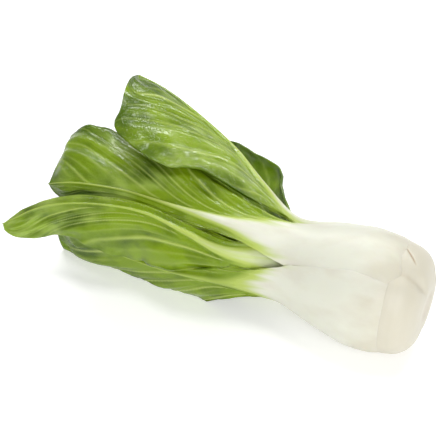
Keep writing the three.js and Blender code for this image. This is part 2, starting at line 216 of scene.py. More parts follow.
class Spline:
    """A smooth curve through points, read by length along it."""

    DIVISIONS = 400

    def __init__(self, points: Points) -> None:
        """Measures the curve.

        Args:
            points: The points that the curve goes through.
        """
        given = np.array(points, float)
        self.points = np.vstack([2 * given[0] - given[1], given, 2 * given[-1] - given[-2]])
        self.spans = len(points) - 1
        self.t = np.linspace(0.0, 1.0, self.DIVISIONS + 1)
        steps = np.linalg.norm(np.diff(self.at(self.t), axis=0), axis=1)
        self.lengths = np.concatenate([[0.0], np.cumsum(steps)])
        self.length = float(self.lengths[-1])

    def at(self, t: np.ndarray) -> np.ndarray:
        """Points of the curve by its own parameter.

        Args:
            t: Shares of the parameter.

        Returns:
            The points.
        """
        place = np.clip(t, 0.0, 1.0) * self.spans
        i = np.minimum(place.astype(int), self.spans - 1)
        w = (place - i)[..., None]
        before, start, end, after = (self.points[i + k] for k in range(4))
        leaving = 0.5 * (end - before)
        arriving = 0.5 * (after - start)
        square = -3 * start + 3 * end - 2 * leaving - arriving
        cube = 2 * start - 2 * end + leaving + arriving
        return start + leaving * w + square * w * w + cube * w * w * w

    def at_length(self, s: np.ndarray) -> np.ndarray:
        """Points at lengths s along the curve."""
        return self.at(np.interp(np.clip(s, 0.0, self.length), self.lengths, self.t))

    def length_at_point(self, index: int) -> float:
        """Length along the curve up to the point with this index."""
        return float(self.lengths[round(index / self.spans * self.DIVISIONS)])


@dataclass(frozen=True)
class Whorl:
    """Sizes that the stalks of one whorl share, in mm.

    Attributes:
        profile: The outer face's middle line, as places along the axis and distances from it.
        half_widths: Half widths at shares of the stalk's length.
        thickness: Thickness in the middle.
        tilt: How much the margins stand away, per mm across.
        dip: How far the margins dip.
        gutter: Thickness at the margins.
    """

    profile: Pairs
    half_widths: Pairs
    thickness: float
    tilt: float
    dip: float
    gutter: float


class Ring(Enum):
    """The whorl that a leaf grows in."""

    OUTER = Whorl(
        profile=(
            (92.5, 19.4), (94.5, 21.1), (94.5, 23.8), (92.2, 26.4), (87, 28.4), (80, 29.2), (72, 28.9),
            (58, 26), (36, 21),
        ),
        half_widths=(
            (0, 12), (0.04, 13.8), (0.08, 15.6), (0.14, 17.2), (0.26, 18.8), (0.42, 19.4), (0.66, 17.2),
            (0.78, 15.9), (0.84, 14.8), (1, 10.4),
        ),
        thickness=6, tilt=0.065, dip=1.1, gutter=1.3,
    )
    MIDDLE = Whorl(
        profile=((89.6, 8.6), (91.4, 11.6), (90.2, 15), (86, 17.8), (77, 20.4), (60, 18.8), (38, 15)),
        half_widths=((0, 5), (0.15, 9.5), (0.3, 12.6), (0.5, 12.8), (0.75, 10), (1, 7)),
        thickness=4, tilt=0.07, dip=0.9, gutter=1.2,
    )
    HEART = Whorl(
        profile=((84, 5.6), (85.8, 8), (84.8, 11), (80.5, 13), (72, 13.9), (58, 12.8), (40, 9.4)),
        half_widths=((0, 4.4), (0.2, 9.5), (0.4, 14.5), (0.6, 13.5), (1, 6.4)),
        thickness=2.6, tilt=0.09, dip=0.6, gutter=0.8,
    )


@dataclass(frozen=True)
class LeafSizes:
    """One leaf, with places in mm and angles in degrees. A pair for two sides has the lower azimuth first.

    Attributes:
        name: The leaf's name.
        ring: The whorl that it grows in.
        azimuth: Azimuth of the midrib at the base and past the neck.
        half_width: Greatest width of each side's blade.
        start: How far past the neck each side's blade starts to widen.
        fold: How far each side is folded inward at the midrib.
        curl: How far each side curls inward over its width.
        ruffle: Height of each margin's waves.
        phase: Phase of the waves and of the side veins.
        rib: Points of the midrib: along the axis, away from it and sideways.
        roll: How far the blade turns about its midrib.
        waves: Number of waves along a margin.
        blunt: How blunt the tip is.
        widest: Share of the blade at which it is widest.
        lean: How far each margin leans towards the tip.
        taper: Share of its width that the blade loses towards the tip.
        girth: Width of the stalk, 1 for its whorl's own.
        lift: How high the stalk is kept off the table.
        neck_green: How green the stalk is at the neck.
        spread: How far each side of the stalk reaches round the bulb, 1 for its own width.
        margin_rise: How far each margin of the stalk stands away, as shares of the whorl's tilt.
        rib_green: How green the midrib becomes, and the shares of the blade between which it does.
        bloom_and_sheen: How pale the blade is at shares of its length, partly with bloom and partly with
            painted sheen.
        rows: Number of rows in the mesh.
        columns: Number of columns in the mesh.
    """

    name: str
    ring: Ring
    azimuth: Pair
    half_width: Pair
    start: Pair
    fold: Pair
    curl: Pair
    ruffle: Pair
    phase: float
    rib: Points
    roll: float = 0.0
    waves: float = 3.0
    blunt: float = 3.0
    widest: float = 0.66
    lean: Pair = (0.0, 0.0)
    taper: float = 0.0
    girth: float = 1.0
    lift: float = 0.0
    neck_green: float = 0.14
    spread: Pair = (1.0, 1.0)
    margin_rise: Pair = (-0.6, 0.4)
    rib_green: Triple = (0.42, 0.1, 0.7)
    bloom_and_sheen: Pairs = ((0, 0), (1, 0))
    rows: int = 150
    columns: int = 96


LEAVES = (
    LeafSizes(
        "leaf_01", Ring.OUTER, azimuth=(88, 70), half_width=(9, 34), start=(28, 0), fold=(66, -14),
        curl=(10, 38), ruffle=(0.4, 2.2), phase=0.4,
        rib=(
            (10, 24.5, -3.4), (-14, 24, -4.2), (-44, 21, -3.6), (-68, 18, -6), (-80, 15, -8), (-88, 11, -9),
        ),
        lean=(0, 10), blunt=4, widest=0.8, neck_green=0.06, spread=(1.07, 1.0), margin_rise=(-0.35, 0.4),
        bloom_and_sheen=((0, 0.3), (0.25, 0.05), (0.5, 0.3), (0.72, 0.75), (0.86, 0.2), (1, 0.5)),
        rows=240, columns=140,
    ),
    LeafSizes(
        "leaf_02", Ring.OUTER, azimuth=(8, -8), half_width=(47, 20), start=(17, 10), fold=(0, 26),
        curl=(30, 40), ruffle=(2, 2), phase=1.4,
        rib=((10, 21, -5), (-20, 21.5, -11), (-50, 21, -13), (-72, 20, -14), (-84, 17, -15)),
        lean=(16, 0), blunt=1.3, widest=0.7, girth=1.2, neck_green=0.04, spread=(1.3, 1.06),
        margin_rise=(0.6, 0.12), rib_green=(0.6, 0.03, 0.28), bloom_and_sheen=((0, -0.2), (0.5, -0.15), (1, 0.05)),
        rows=200, columns=140,
    ),
    LeafSizes(
        "leaf_03", Ring.OUTER, azimuth=(160, 134), half_width=(46, 24), start=(4, 4), fold=(14, 50),
        curl=(52, 40), ruffle=(1.6, 2), phase=2.2,
        rib=((12, 30, 4), (-8, 42, 8), (-30, 52, 9), (-52, 60, 9), (-68, 63, 7)),
        lean=(3, 0), blunt=3, widest=0.66, neck_green=0.2,
        bloom_and_sheen=((0, 0.3), (0.3, 0.8), (0.55, 0.75), (0.76, 0), (1, 0)), rows=200, columns=140,
    ),
    LeafSizes(
        "leaf_04", Ring.OUTER, azimuth=(232, 200), half_width=(24, 24), start=(0, 0), fold=(0, -10),
        curl=(20, -20), ruffle=(2, 2), phase=0.9,
        rib=((14, 33, 0), (-6, 48, 0), (-28, 60, 0), (-46, 66, 2), (-54, 66, 4)),
        roll=-30, widest=0.5, neck_green=0.4,
    ),
    LeafSizes(
        "leaf_05", Ring.OUTER, azimuth=(297, 268), half_width=(15, 15), start=(0, 0), fold=(0, 0),
        curl=(20, 20), ruffle=(1, 1), phase=2.9,
        rib=((12, 23, -2), (-14, 26, -5), (-40, 28, -6), (-62, 30, -6), (-74, 31, -6)),
        girth=0.76, lift=2.6, spread=(1.0, 0.9), margin_rise=(-1.0, -2.0),
    ),
    LeafSizes(
        "leaf_06", Ring.MIDDLE, azimuth=(52, 38), half_width=(29, 6.5), start=(22, 24), fold=(20, 104),
        curl=(20, 10), ruffle=(2.6, 0.4), phase=0.2,
        rib=(
            (13, 23.5, -3), (-9, 25.5, 0), (-31, 27, 2.4), (-56, 28, -1.6), (-80, 28, -10.5),
            (-103, 22, -27),
        ),
        blunt=4, widest=0.42, taper=0.45, neck_green=0.28,
        bloom_and_sheen=((0, 0.5), (0.25, 0.1), (0.45, -0.05), (1, 1.2)), rows=260, columns=140,
    ),
    LeafSizes(
        "leaf_07", Ring.MIDDLE, azimuth=(124, 103), half_width=(11, 12), start=(6, 6), fold=(10, 20),
        curl=(50, 70), ruffle=(1, 1), phase=0.7,
        rib=((14, 15.5, 0), (-14, 16, 2), (-40, 14, 4), (-60, 11, 5)), rows=110, columns=64,
    ),
    LeafSizes(
        "leaf_08", Ring.MIDDLE, azimuth=(196, 172), half_width=(14, 14), start=(6, 6), fold=(15, 15),
        curl=(60, 60), ruffle=(1, 1), phase=1.1,
        rib=((14, 18, 0), (-12, 23, 2), (-38, 26, 4), (-60, 26, 5)), rows=110, columns=64,
    ),
    LeafSizes(
        "leaf_09", Ring.MIDDLE, azimuth=(286, 250), half_width=(14, 14), start=(6, 6), fold=(15, 15),
        curl=(60, 60), ruffle=(1, 1), phase=2.2,
        rib=((14, 14.5, 0), (-14, 15, 0), (-42, 15, 0), (-64, 14, 0)), rows=110, columns=64,
    ),
    LeafSizes(
        "leaf_10", Ring.HEART, azimuth=(90, 70), half_width=(8, 8), start=(6, 6), fold=(20, 20),
        curl=(90, 90), ruffle=(0.5, 0.5), phase=0.0,
        rib=((16, 8, 0), (-8, 6, -1), (-26, 4, -2)), waves=2, rows=90, columns=52,
    ),
    LeafSizes(
        "leaf_11", Ring.HEART, azimuth=(270, 250), half_width=(8, 8), start=(6, 6), fold=(20, 20),
        curl=(90, 90), ruffle=(0.5, 0.5), phase=0.5,
        rib=((16, 8.5, 0), (-4, 7.5, 0), (-22, 7, 0)), waves=2, rows=90, columns=52,
    ),
)


class LeafSurface:
    """The outer face of one leaf as a function of s, mm from the base, and y, mm across from the midrib.

    The second side is the one where y is not below 0. An argument called right tells it from the first.
    """

    def __init__(self, sizes: LeafSizes) -> None:
        """Reads the leaf's curve and its lengths.

        Args:
            sizes: The leaf's sizes.
        """
        self.sizes = sizes
        self.whorl: Whorl = sizes.ring.value
        stalk = tuple((x, radius, 0.0) for x, radius in self.whorl.profile)
        self.curve = Spline(stalk + sizes.rib)
        self.length = self.curve.length
        self.neck = self.curve.length_at_point(len(stalk) - 1)
        self.neck_radius = self.whorl.profile[-1][1]
        self.neck_half = sizes.girth * self.whorl.half_widths[-1][1]
        self.wing_start = self.neck - BLADE_LEAD

    def azimuth_at(self, s: np.ndarray) -> np.ndarray:
        """Azimuth of the midrib, in radians."""
        turned = smoothstep(s / self.neck, *TURN_SPAN)
        return np.radians(mix(self.sizes.azimuth[0], self.sizes.azimuth[1], turned))

    def blade_share(self, s: np.ndarray) -> np.ndarray:
        """Share of the way from the blade's start to the tip."""
        return np.clip((s - self.wing_start) / (self.length - self.wing_start), 0.0, 1.0)

    def rib_run(self, s: np.ndarray) -> np.ndarray:
        """Share of the way from the neck to the tip."""
        return np.clip((s - self.neck) / (self.length - self.neck), 0.0, 1.0)

    def tip_share(self, s: np.ndarray) -> np.ndarray:
        """1 along the leaf, and down to 0 over its last stretch."""
        return np.clip((self.length - s) / TIP_FADE, 0.0, 1.0)

    def rib_half(self, s: np.ndarray) -> np.ndarray:
        """Half width of the stalk, and past the neck of the midrib.

        Args:
            s: Lengths from the base.

        Returns:
            The half widths.
        """
        rib = RIB_TIP + (self.neck_half - RIB_TIP) * (1.0 - self.rib_run(s)) ** RIB_TAPER
        stalk = self.sizes.girth * along(self.whorl.half_widths, s / self.neck)
        return np.where(s <= self.neck, stalk, rib * self.tip_share(s))

    def rib_share(self, s: np.ndarray, y: np.ndarray) -> np.ndarray:
        """Share of the way from the midrib's middle line to its edge."""
        return np.clip(np.abs(y) / np.maximum(self.rib_half(s), NARROWEST), 0.0, 1.0)

    def hinge(self, s: np.ndarray, right: np.ndarray) -> np.ndarray:
        """Where the blade begins, mm from the midrib's middle line.

        Args:
            s: Lengths from the base.
            right: Whether each place is on the second side.

        Returns:
            The distances.
        """
        folded = np.sin(np.radians(np.clip(by_side(right, self.sizes.fold), 0.0, 90.0)))
        return self.rib_half(s) + (JOINT_GAP + FOLD_GAP * folded) * self.tip_share(s)

    def wing_width(self, s: np.ndarray, right: np.ndarray) -> np.ndarray:
        """Width of the blade from where it begins to the margin.

        Args:
            s: Lengths from the base.
            right: Whether each place is on the second side.

        Returns:
            The widths.
        """
        start = self.neck + by_side(right, self.sizes.start)
        u = np.clip((s - start) / (self.length - start), 0.0, 1.0)
        widest = self.sizes.widest
        rising = np.sin(np.pi / 2 * np.clip(u / widest, 0.0, 1.0)) ** 1.1
        narrowing = np.clip((u - widest) / (1.0 - widest), 0.0, 1.0) ** self.sizes.blunt
        falling = np.clip(1.0 - narrowing, 0.0, 1.0) ** 0.5
        tapered = 1.0 - self.sizes.taper * smoothstep(u, widest, widest + TAPER_SPAN)
        return by_side(right, self.sizes.half_width) * rising * falling * tapered

    def rib_point(self, s: np.ndarray) -> np.ndarray:
        """Points of the midrib's middle line.

        Args:
            s: Lengths from the base.

        Returns:
            The points.
        """
        q = self.curve.at_length(s)
        angle = self.azimuth_at(s)
        return axis_at(q[..., 0]) + outward(angle) * q[..., 1:2] + sideways(angle) * q[..., 2:3]

    def wrapped_point(self, s: np.ndarray, y: np.ndarray, blend: np.ndarray) -> np.ndarray:
        """Points of the stalk, which wraps round the head's axis.

        Args:
            s: Lengths from the base.
            y: Distances across.
            blend: Share of the blade's own form in the point.

        Returns:
            The points.
        """
        q = self.curve.at_length(s)
        right = y >= 0
        spreading = smoothstep(s, 0.0, SPREAD_START) * (1.0 - smoothstep(s / self.neck, *SPREAD_END))
        spread = 1.0 + (by_side(right, self.sizes.spread) - 1.0) * spreading
        turned = self.azimuth_at(s) + y * spread / q[..., 1]
        half = np.maximum(self.rib_half(np.minimum(s, self.neck)), NARROWEST)
        share = np.clip(np.abs(y) / half, 0.0, 1.6)
        rise = self.whorl.tilt * by_side(right, self.sizes.margin_rise) * np.abs(y)
        settled = smoothstep(s, 0.0, STALK_ROUNDING) * (1.0 - blend)
        away = q[..., 1] + settled * (rise - self.whorl.dip * share**2)
        return axis_at(q[..., 0]) + outward(turned) * away[..., None] + sideways(turned) * q[..., 2:3]

    def framed_point(self, s: np.ndarray, y: np.ndarray) -> np.ndarray:
        """Points of the blade, which opens, folds, curls and waves about its midrib.

        Args:
            s: Lengths from the base.
            y: Distances across.

        Returns:
            The points.
        """
        sizes = self.sizes
        right = y >= 0
        opened = smoothstep(self.blade_share(s), *OPENING)
        tangent, across, normal = self._frame(s, opened)

        on_rib = np.minimum(np.abs(y), self.hinge(s, right))
        beyond = np.maximum(np.abs(y) - on_rib, 0.0)
        wrap = (1.0 - opened) / self.neck_radius
        rib_over, rib_inward = arc(np.zeros_like(s), wrap, on_rib)
        half_width = by_side(right, sizes.half_width)
        start = wrap * on_rib + np.radians(by_side(right, sizes.fold)) * opened
        bend = mix(wrap, np.radians(by_side(right, sizes.curl)) / half_width, opened)
        wing_over, wing_inward = arc(start, bend, beyond)

        heading = start * smoothstep(beyond, 0.0, FOLD_EASE) + bend * beyond
        height = self._margin_wave(s, beyond, right) * opened
        forward = by_side(right, sizes.lean) * opened * (beyond / half_width) ** 1.5
        over = np.where(right, 1.0, -1.0) * (rib_over + wing_over + height * np.sin(heading))
        away = height * np.cos(heading) - rib_inward - wing_inward
        moved = tangent * forward[..., None] + across * over[..., None] + normal * away[..., None]
        return self.rib_point(s) + moved

    def _frame(self, s: np.ndarray, opened: np.ndarray) -> tuple[np.ndarray, np.ndarray, np.ndarray]:
        """Directions of the blade at the midrib.

        Args:
            s: Lengths from the base.
            opened: How far the blade has opened out.

        Returns:
            Unit vectors towards the tip, across the blade and out of it.
        """
        upper = np.minimum(s + 0.5, self.length)
        tangent = unit(self.rib_point(upper) - self.rib_point(upper - 1.0))
        side_way = sideways(self.azimuth_at(s))
        across = unit(side_way - tangent * np.sum(side_way * tangent, axis=-1, keepdims=True))
        normal = np.cross(across, tangent)
        turn = (math.radians(self.sizes.roll) * opened)[..., None]
        rolled_across = across * np.cos(turn) + normal * np.sin(turn)
        rolled_normal = normal * np.cos(turn) - across * np.sin(turn)
        return tangent, rolled_across, rolled_normal

    def _margin_wave(self, s: np.ndarray, beyond: np.ndarray, right: np.ndarray) -> np.ndarray:
        """Height of the waves that grow towards the margin.

        Args:
            s: Lengths from the base.
            beyond: Distances past the midrib's edge.
            right: Whether each place is on the second side.

        Returns:
            The heights on an open blade.
        """
        outer = np.clip(beyond / (self.wing_width(s, right) + 1.0), 0.0, 1.0)
        turns = self.sizes.waves * self.blade_share(s)
        phase = self.sizes.phase + np.where(right, SIDE_PHASE, 0.0)
        large = outer**2 * wave(turns + phase)
        small = RIPPLE_HEIGHT * outer**3 * wave(RIPPLE_RATE * turns + RIPPLE_PHASE * phase)
        return by_side(right, self.sizes.ruffle) * (large + small)

    def point(self, s: np.ndarray, y: np.ndarray) -> np.ndarray:
        """Points of the outer face.

        Args:
            s: Lengths from the base.
            y: Distances across.

        Returns:
            The points.
        """
        blend = smoothstep(s, self.neck - NECK_BLEND, self.neck + NECK_BLEND)
        share = blend[..., None]
        return self.wrapped_point(s, y, blend) * (1.0 - share) + self.framed_point(s, y) * share

    def normal(self, s: np.ndarray, y: np.ndarray) -> np.ndarray:
        """Outward unit normals of the outer face.

        Args:
            s: Lengths from the base.
            y: Distances across.

        Returns:
            The normals.
        """
        step = 0.2
        s = np.clip(s, 0.5, self.length - 0.5)
        lengthwise = self.point(s + step, y) - self.point(s - step, y)
        crosswise = self.point(s, y + step) - self.point(s, y - step)
        return unit(np.cross(crosswise, lengthwise))

    def depth(self, s: np.ndarray, y: np.ndarray) -> np.ndarray:
        """How far the leaf's body goes inward from its outer face.

        Args:
            s: Lengths from the base.
            y: Distances across.

        Returns:
            The depths.
        """
        to_blade = smoothstep(s - self.neck, *BLADE_THINNING)
        full = mix(self.whorl.thickness * smoothstep(s, *BASE_THINNING), LAMINA, to_blade)
        edge = np.minimum(self.whorl.gutter, full)
        return np.maximum(LAMINA, mix(edge, full, 1.0 - self.rib_share(s, y) ** 2))

    def relief(self, s: np.ndarray, y: np.ndarray) -> np.ndarray:
        """How far the midrib stands out of the outer face.

        Args:
            s: Lengths from the base.
            y: Distances across.

        Returns:
            The heights.
        """
        t = self.rib_run(s)
        height = RIB_HEIGHT * smoothstep(t, 0.0, RIB_RISE) * (1.0 - RIB_FALL * t)
        return height * (1.0 - self.rib_share(s, y) ** 2)


@dataclass(frozen=True)
class LeafGrid:
    """Places over one leaf, with a row for each station along it and a column for each place across.

    Attributes:
        s: Lengths from the base, in mm.
        y: Distances across from the midrib's middle line, in mm.
        station: Share of the blade at which each row leaves the midrib.
        outer: Shares of the way from the midrib's edge to the margin.
        in_wing: Whether each place is beside the midrib.
        right: Whether each place is on the second side.
    """

    s: np.ndarray
    y: np.ndarray
    station: np.ndarray
    outer: np.ndarray
    in_wing: np.ndarray
    right: np.ndarray


@dataclass(frozen=True)
class VeinMap:
    """Where the side veins of one leaf run.

    Attributes:
        starts: Share of the blade at which the side vein through each place starts.
        ends: 1 beside the midrib, and down to 0 where the veins run out at the blade's two ends.
        main: How much of a main vein is at each place.
        veins: How much of any vein is there.
        pillow: 0 on a main vein and 1 halfway to the next.
    """

    starts: np.ndarray
    ends: np.ndarray
    main: np.ndarray
    veins: np.ndarray
    pillow: np.ndarray


@dataclass(frozen=True)
class SideVeins:
    """How side veins run and how strong they are. Widths are shares of the distance between two veins.

    Attributes:
        per_side: Number of main veins on a side.
        crowding: How the veins crowd along the midrib, 1 for evenly.
        fan: How far the veins fan out to the margin.
        second_side: How far the second side's veins lag behind, in veins.
        wobble: How far a vein strays from an even distance, in veins.
        wobble_turns: Turns of that over the midrib and towards the margin.
        strength: Mean strength of a main vein, and how much it varies.
        width: Width of a main vein at the midrib and at the margin.
        fading: Share of its strength that a main vein loses by the margin.
        thin_count: Number of thin veins to each main one.
        thin_width: Width of a thin vein.
        thin_strength: Strength of a thin vein.
        rise: Shares of the blade between which the first veins come in.
        fall: Shares of the blade between which the last veins run out.
    """

    per_side: float = 7.0
    crowding: float = 0.6
    fan: float = 4.8
    second_side: float = 0.35
    wobble: float = 0.24
    wobble_turns: Pair = (1.7, 0.13)
    strength: Pair = (0.72, 0.28)
    width: Pair = (0.068, 0.038)
    fading: float = 0.75
    thin_count: float = 3.0
    thin_width: float = 0.13
    thin_strength: float = 0.42
    rise: Pair = (0.0, 0.08)
    fall: Pair = (0.86, 1.0)

    def over(self, surface: LeafSurface, grid: LeafGrid) -> VeinMap:
        """Lays the veins over a leaf.

        Args:
            surface: The leaf's form.
            grid: Its grid.

        Returns:
            Where the veins are.
        """
        phase = surface.sizes.phase
        outer = grid.outer
        starts = self._starts(surface.blade_share(grid.s), outer)
        strayed = self.wobble * wave(self.wobble_turns[0] * starts + phase + self.wobble_turns[1] * outer)
        lag = np.where(grid.right, 0.0, self.second_side)
        count = starts**self.crowding * self.per_side + lag + strayed
        nearest = np.round(count)
        strength = self.strength[0] + self.strength[1] * np.sin(12.9 * nearest + 5.1 * phase)
        main = strength * ridge(count - nearest, mix(*self.width, outer)) * (1.0 - self.fading * outer**1.5)
        thin_places = count * self.thin_count
        thin = self.thin_strength * ridge(thin_places - np.round(thin_places), self.thin_width)
        thin = thin * (1.0 - outer) * smoothstep(outer, 0.05, 0.3)
        ends = smoothstep(grid.station, *self.rise) * (1.0 - smoothstep(grid.station, *self.fall))
        ends = ends * grid.in_wing
        pillow = 0.5 - 0.5 * np.cos(2 * np.pi * count)
        return VeinMap(starts, ends, main, np.maximum(main, thin) * ends, pillow)

    def _starts(self, u: np.ndarray, outer: np.ndarray) -> np.ndarray:
        """Where on the midrib the side vein through each place starts.

        Args:
            u: Shares of the way along the blade.
            outer: Shares of the way from the midrib's edge to the margin.

        Returns:
            The starts, as shares of the way along the blade.
        """
        steps_along = 200
        steps_out = 60
        starts = np.linspace(0.0, 1.0, steps_along + 1)
        ends = 1.0 - (1.0 - starts) ** self.fan
        levels = np.linspace(0.0, 1.0, steps_out + 1)
        table = np.array([np.interp(starts, mix(starts, ends, level**0.7), starts) for level in levels])
        column = np.clip(u, 0.0, 1.0) * steps_along
        row = np.clip(outer, 0.0, 1.0) * steps_out
        i = np.minimum(row.astype(int), steps_out - 1)
        j = np.minimum(column.astype(int), steps_along - 1)
        near = mix(table[i, j], table[i, j + 1], column - j)
        far = mix(table[i + 1, j], table[i + 1, j + 1], column - j)
        return mix(near, far, row - i)


class FinishNodes:
    """The nodes of one material. Each method adds one kind of node and gives its output."""

    MIX_FIRST = 6
    MIX_SECOND = 7
    MIX_RESULT = 2

    def __init__(self, name: str) -> None:
        """Starts a material.

        Args:
            name: The material's name.
        """
        self.material = bpy.data.materials.new(name)
        self.material.use_nodes = True
        self.tree = self.material.node_tree
        self.shader = self.tree.nodes["Principled BSDF"]

    def link(self, source: Socket, target: Socket) -> None:
        """Joins an output to an input."""
        self.tree.links.new(source, target)

    def soften(self, weight: float, radius: Triple) -> None:
        """Lets light into the surface.

        Args:
            weight: How much of the light goes in.
            radius: How far each colour goes, as shares of 4 mm.
        """
        self.shader.inputs["Subsurface Weight"].default_value = weight
        self.shader.inputs["Subsurface Radius"].default_value = radius
        self.shader.inputs["Subsurface Scale"].default_value = 4 * MM

    def attribute(self, name: str) -> Socket:
        """Output that reads one of the piece's own values.

        Args:
            name: The value's name.

        Returns:
            The value.
        """
        node = self.tree.nodes.new("ShaderNodeAttribute")
        node.attribute_name = name
        return node.outputs["Fac"]

    def leaf_map(self) -> Socket:
        """Place on the leaf's own map.

        Returns:
            The place.
        """
        node = self.tree.nodes.new("ShaderNodeUVMap")
        node.uv_map = "leaf"
        return node.outputs[0]

    def noise(self, vector: Socket, scale: Triple, detail: float) -> Socket:
        """Noise over the surface.

        Args:
            vector: The place on the surface.
            scale: Scale along each axis of the place.
            detail: The noise's detail.

        Returns:
            The noise's value.
        """
        place = self.tree.nodes.new("ShaderNodeMapping")
        place.inputs["Scale"].default_value = scale
        self.link(vector, place.inputs["Vector"])
        node = self.tree.nodes.new("ShaderNodeTexNoise")
        node.inputs["Scale"].default_value = 1.0
        node.inputs["Detail"].default_value = detail
        self.link(place.outputs[0], node.inputs["Vector"])
        return node.outputs["Fac"]

    def cell_edges(self, vector: Socket, scale: float, width: float) -> Socket:
        """Net of cell edges.

        Args:
            vector: The place on the surface.
            scale: Cells per unit of the place.
            width: How wide an edge is, as a share of a cell.

        Returns:
            1 on an edge and 0 away from it.
        """
        cells = self.tree.nodes.new("ShaderNodeTexVoronoi")
        cells.feature = "DISTANCE_TO_EDGE"
        cells.inputs["Scale"].default_value = scale
        self.link(vector, cells.inputs["Vector"])
        return self.ramp(cells.outputs["Distance"], (0.0, width), (1.0, 0.0))

    def ramp(self, value: Socket, span: Pair, results: Pair = (0.0, 1.0)) -> Socket:
        """Smooth change while a value goes over a span.

        Args:
            value: What is read.
            span: Where the change starts and ends.
            results: The result up to the start and the one from the end.

        Returns:
            The result.
        """
        node = self.tree.nodes.new("ShaderNodeMapRange")
        node.interpolation_type = "SMOOTHSTEP"
        for socket, number in zip(("From Min", "From Max", "To Min", "To Max"), (*span, *results)):
            node.inputs[socket].default_value = number
        self.link(value, node.inputs["Value"])
        return node.outputs[0]

    def math(self, operation: str, first: Socket, *rest: Socket | float) -> Socket:
        """Result of one sum on outputs and numbers.

        Args:
            operation: The kind of sum.
            first: The first operand.
            *rest: The other operands.

        Returns:
            The result.
        """
        node = self.tree.nodes.new("ShaderNodeMath")
        node.operation = operation
        self.link(first, node.inputs[0])
        for k, operand in enumerate(rest, 1):
            if isinstance(operand, (int, float)):
                node.inputs[k].default_value = operand
            else:
                self.link(operand, node.inputs[k])
        return node.outputs[0]

    def patchy(self, noise: Socket, gain: Pair, more: Socket) -> Socket:
        """Noise made into patches between 0 and 1.

        Args:
            noise: The noise.
            gain: What it is multiplied by, and what is then added.
            more: What is added to it as well.

        Returns:
            The patches.
        """
        return self.clamped(self.math("ADD", self.math("MULTIPLY_ADD", noise, *gain), more))

    def clamped(self, value: Socket) -> Socket:
        """Value kept between 0 and 1."""
        return self.math("MINIMUM", self.math("MAXIMUM", value, 0.0), 1.0)

    def mix(self, share: Socket, first: Socket | Triple, second: Triple) -> Socket:
        """Colour between two.

        Args:
            share: Share of the second colour.
            first: The first colour.
            second: The second colour.

        Returns:
            The colour.
        """
        node = self.tree.nodes.new("ShaderNodeMix")
        node.data_type = "RGBA"
        self.link(share, node.inputs[0])
        if isinstance(first, tuple):
            node.inputs[self.MIX_FIRST].default_value = (*first, 1.0)
        else:
            self.link(first, node.inputs[self.MIX_FIRST])
        node.inputs[self.MIX_SECOND].default_value = (*second, 1.0)
        return node.outputs[self.MIX_RESULT]

    def roughen(self, height: Socket, strength: float, distance: float) -> None:
        """Gives the surface a fine relief.

        Args:
            height: The relief.
            strength: How strongly it shows.
            distance: Its height in metres.
        """
        bump = self.tree.nodes.new("ShaderNodeBump")
        bump.inputs["Strength"].default_value = strength
        bump.inputs["Distance"].default_value = distance
        self.link(height, bump.inputs["Height"])
        self.link(bump.outputs[0], self.shader.inputs["Normal"])

    def shine_through(self, colour: Socket, share: float) -> None:
        """Lets a share of the light through the piece.

        Args:
            colour: Colour of that light.
            share: The share.
        """
        glow = self.tree.nodes.new("ShaderNodeBsdfTranslucent")
        blend = self.tree.nodes.new("ShaderNodeMixShader")
        blend.inputs[0].default_value = share
        self.link(colour, glow.inputs["Color"])
        self.link(self.shader.outputs[0], blend.inputs[1])
        self.link(glow.outputs[0], blend.inputs[2])
        self.link(blend.outputs[0], self.tree.nodes["Material Output"].inputs["Surface"])


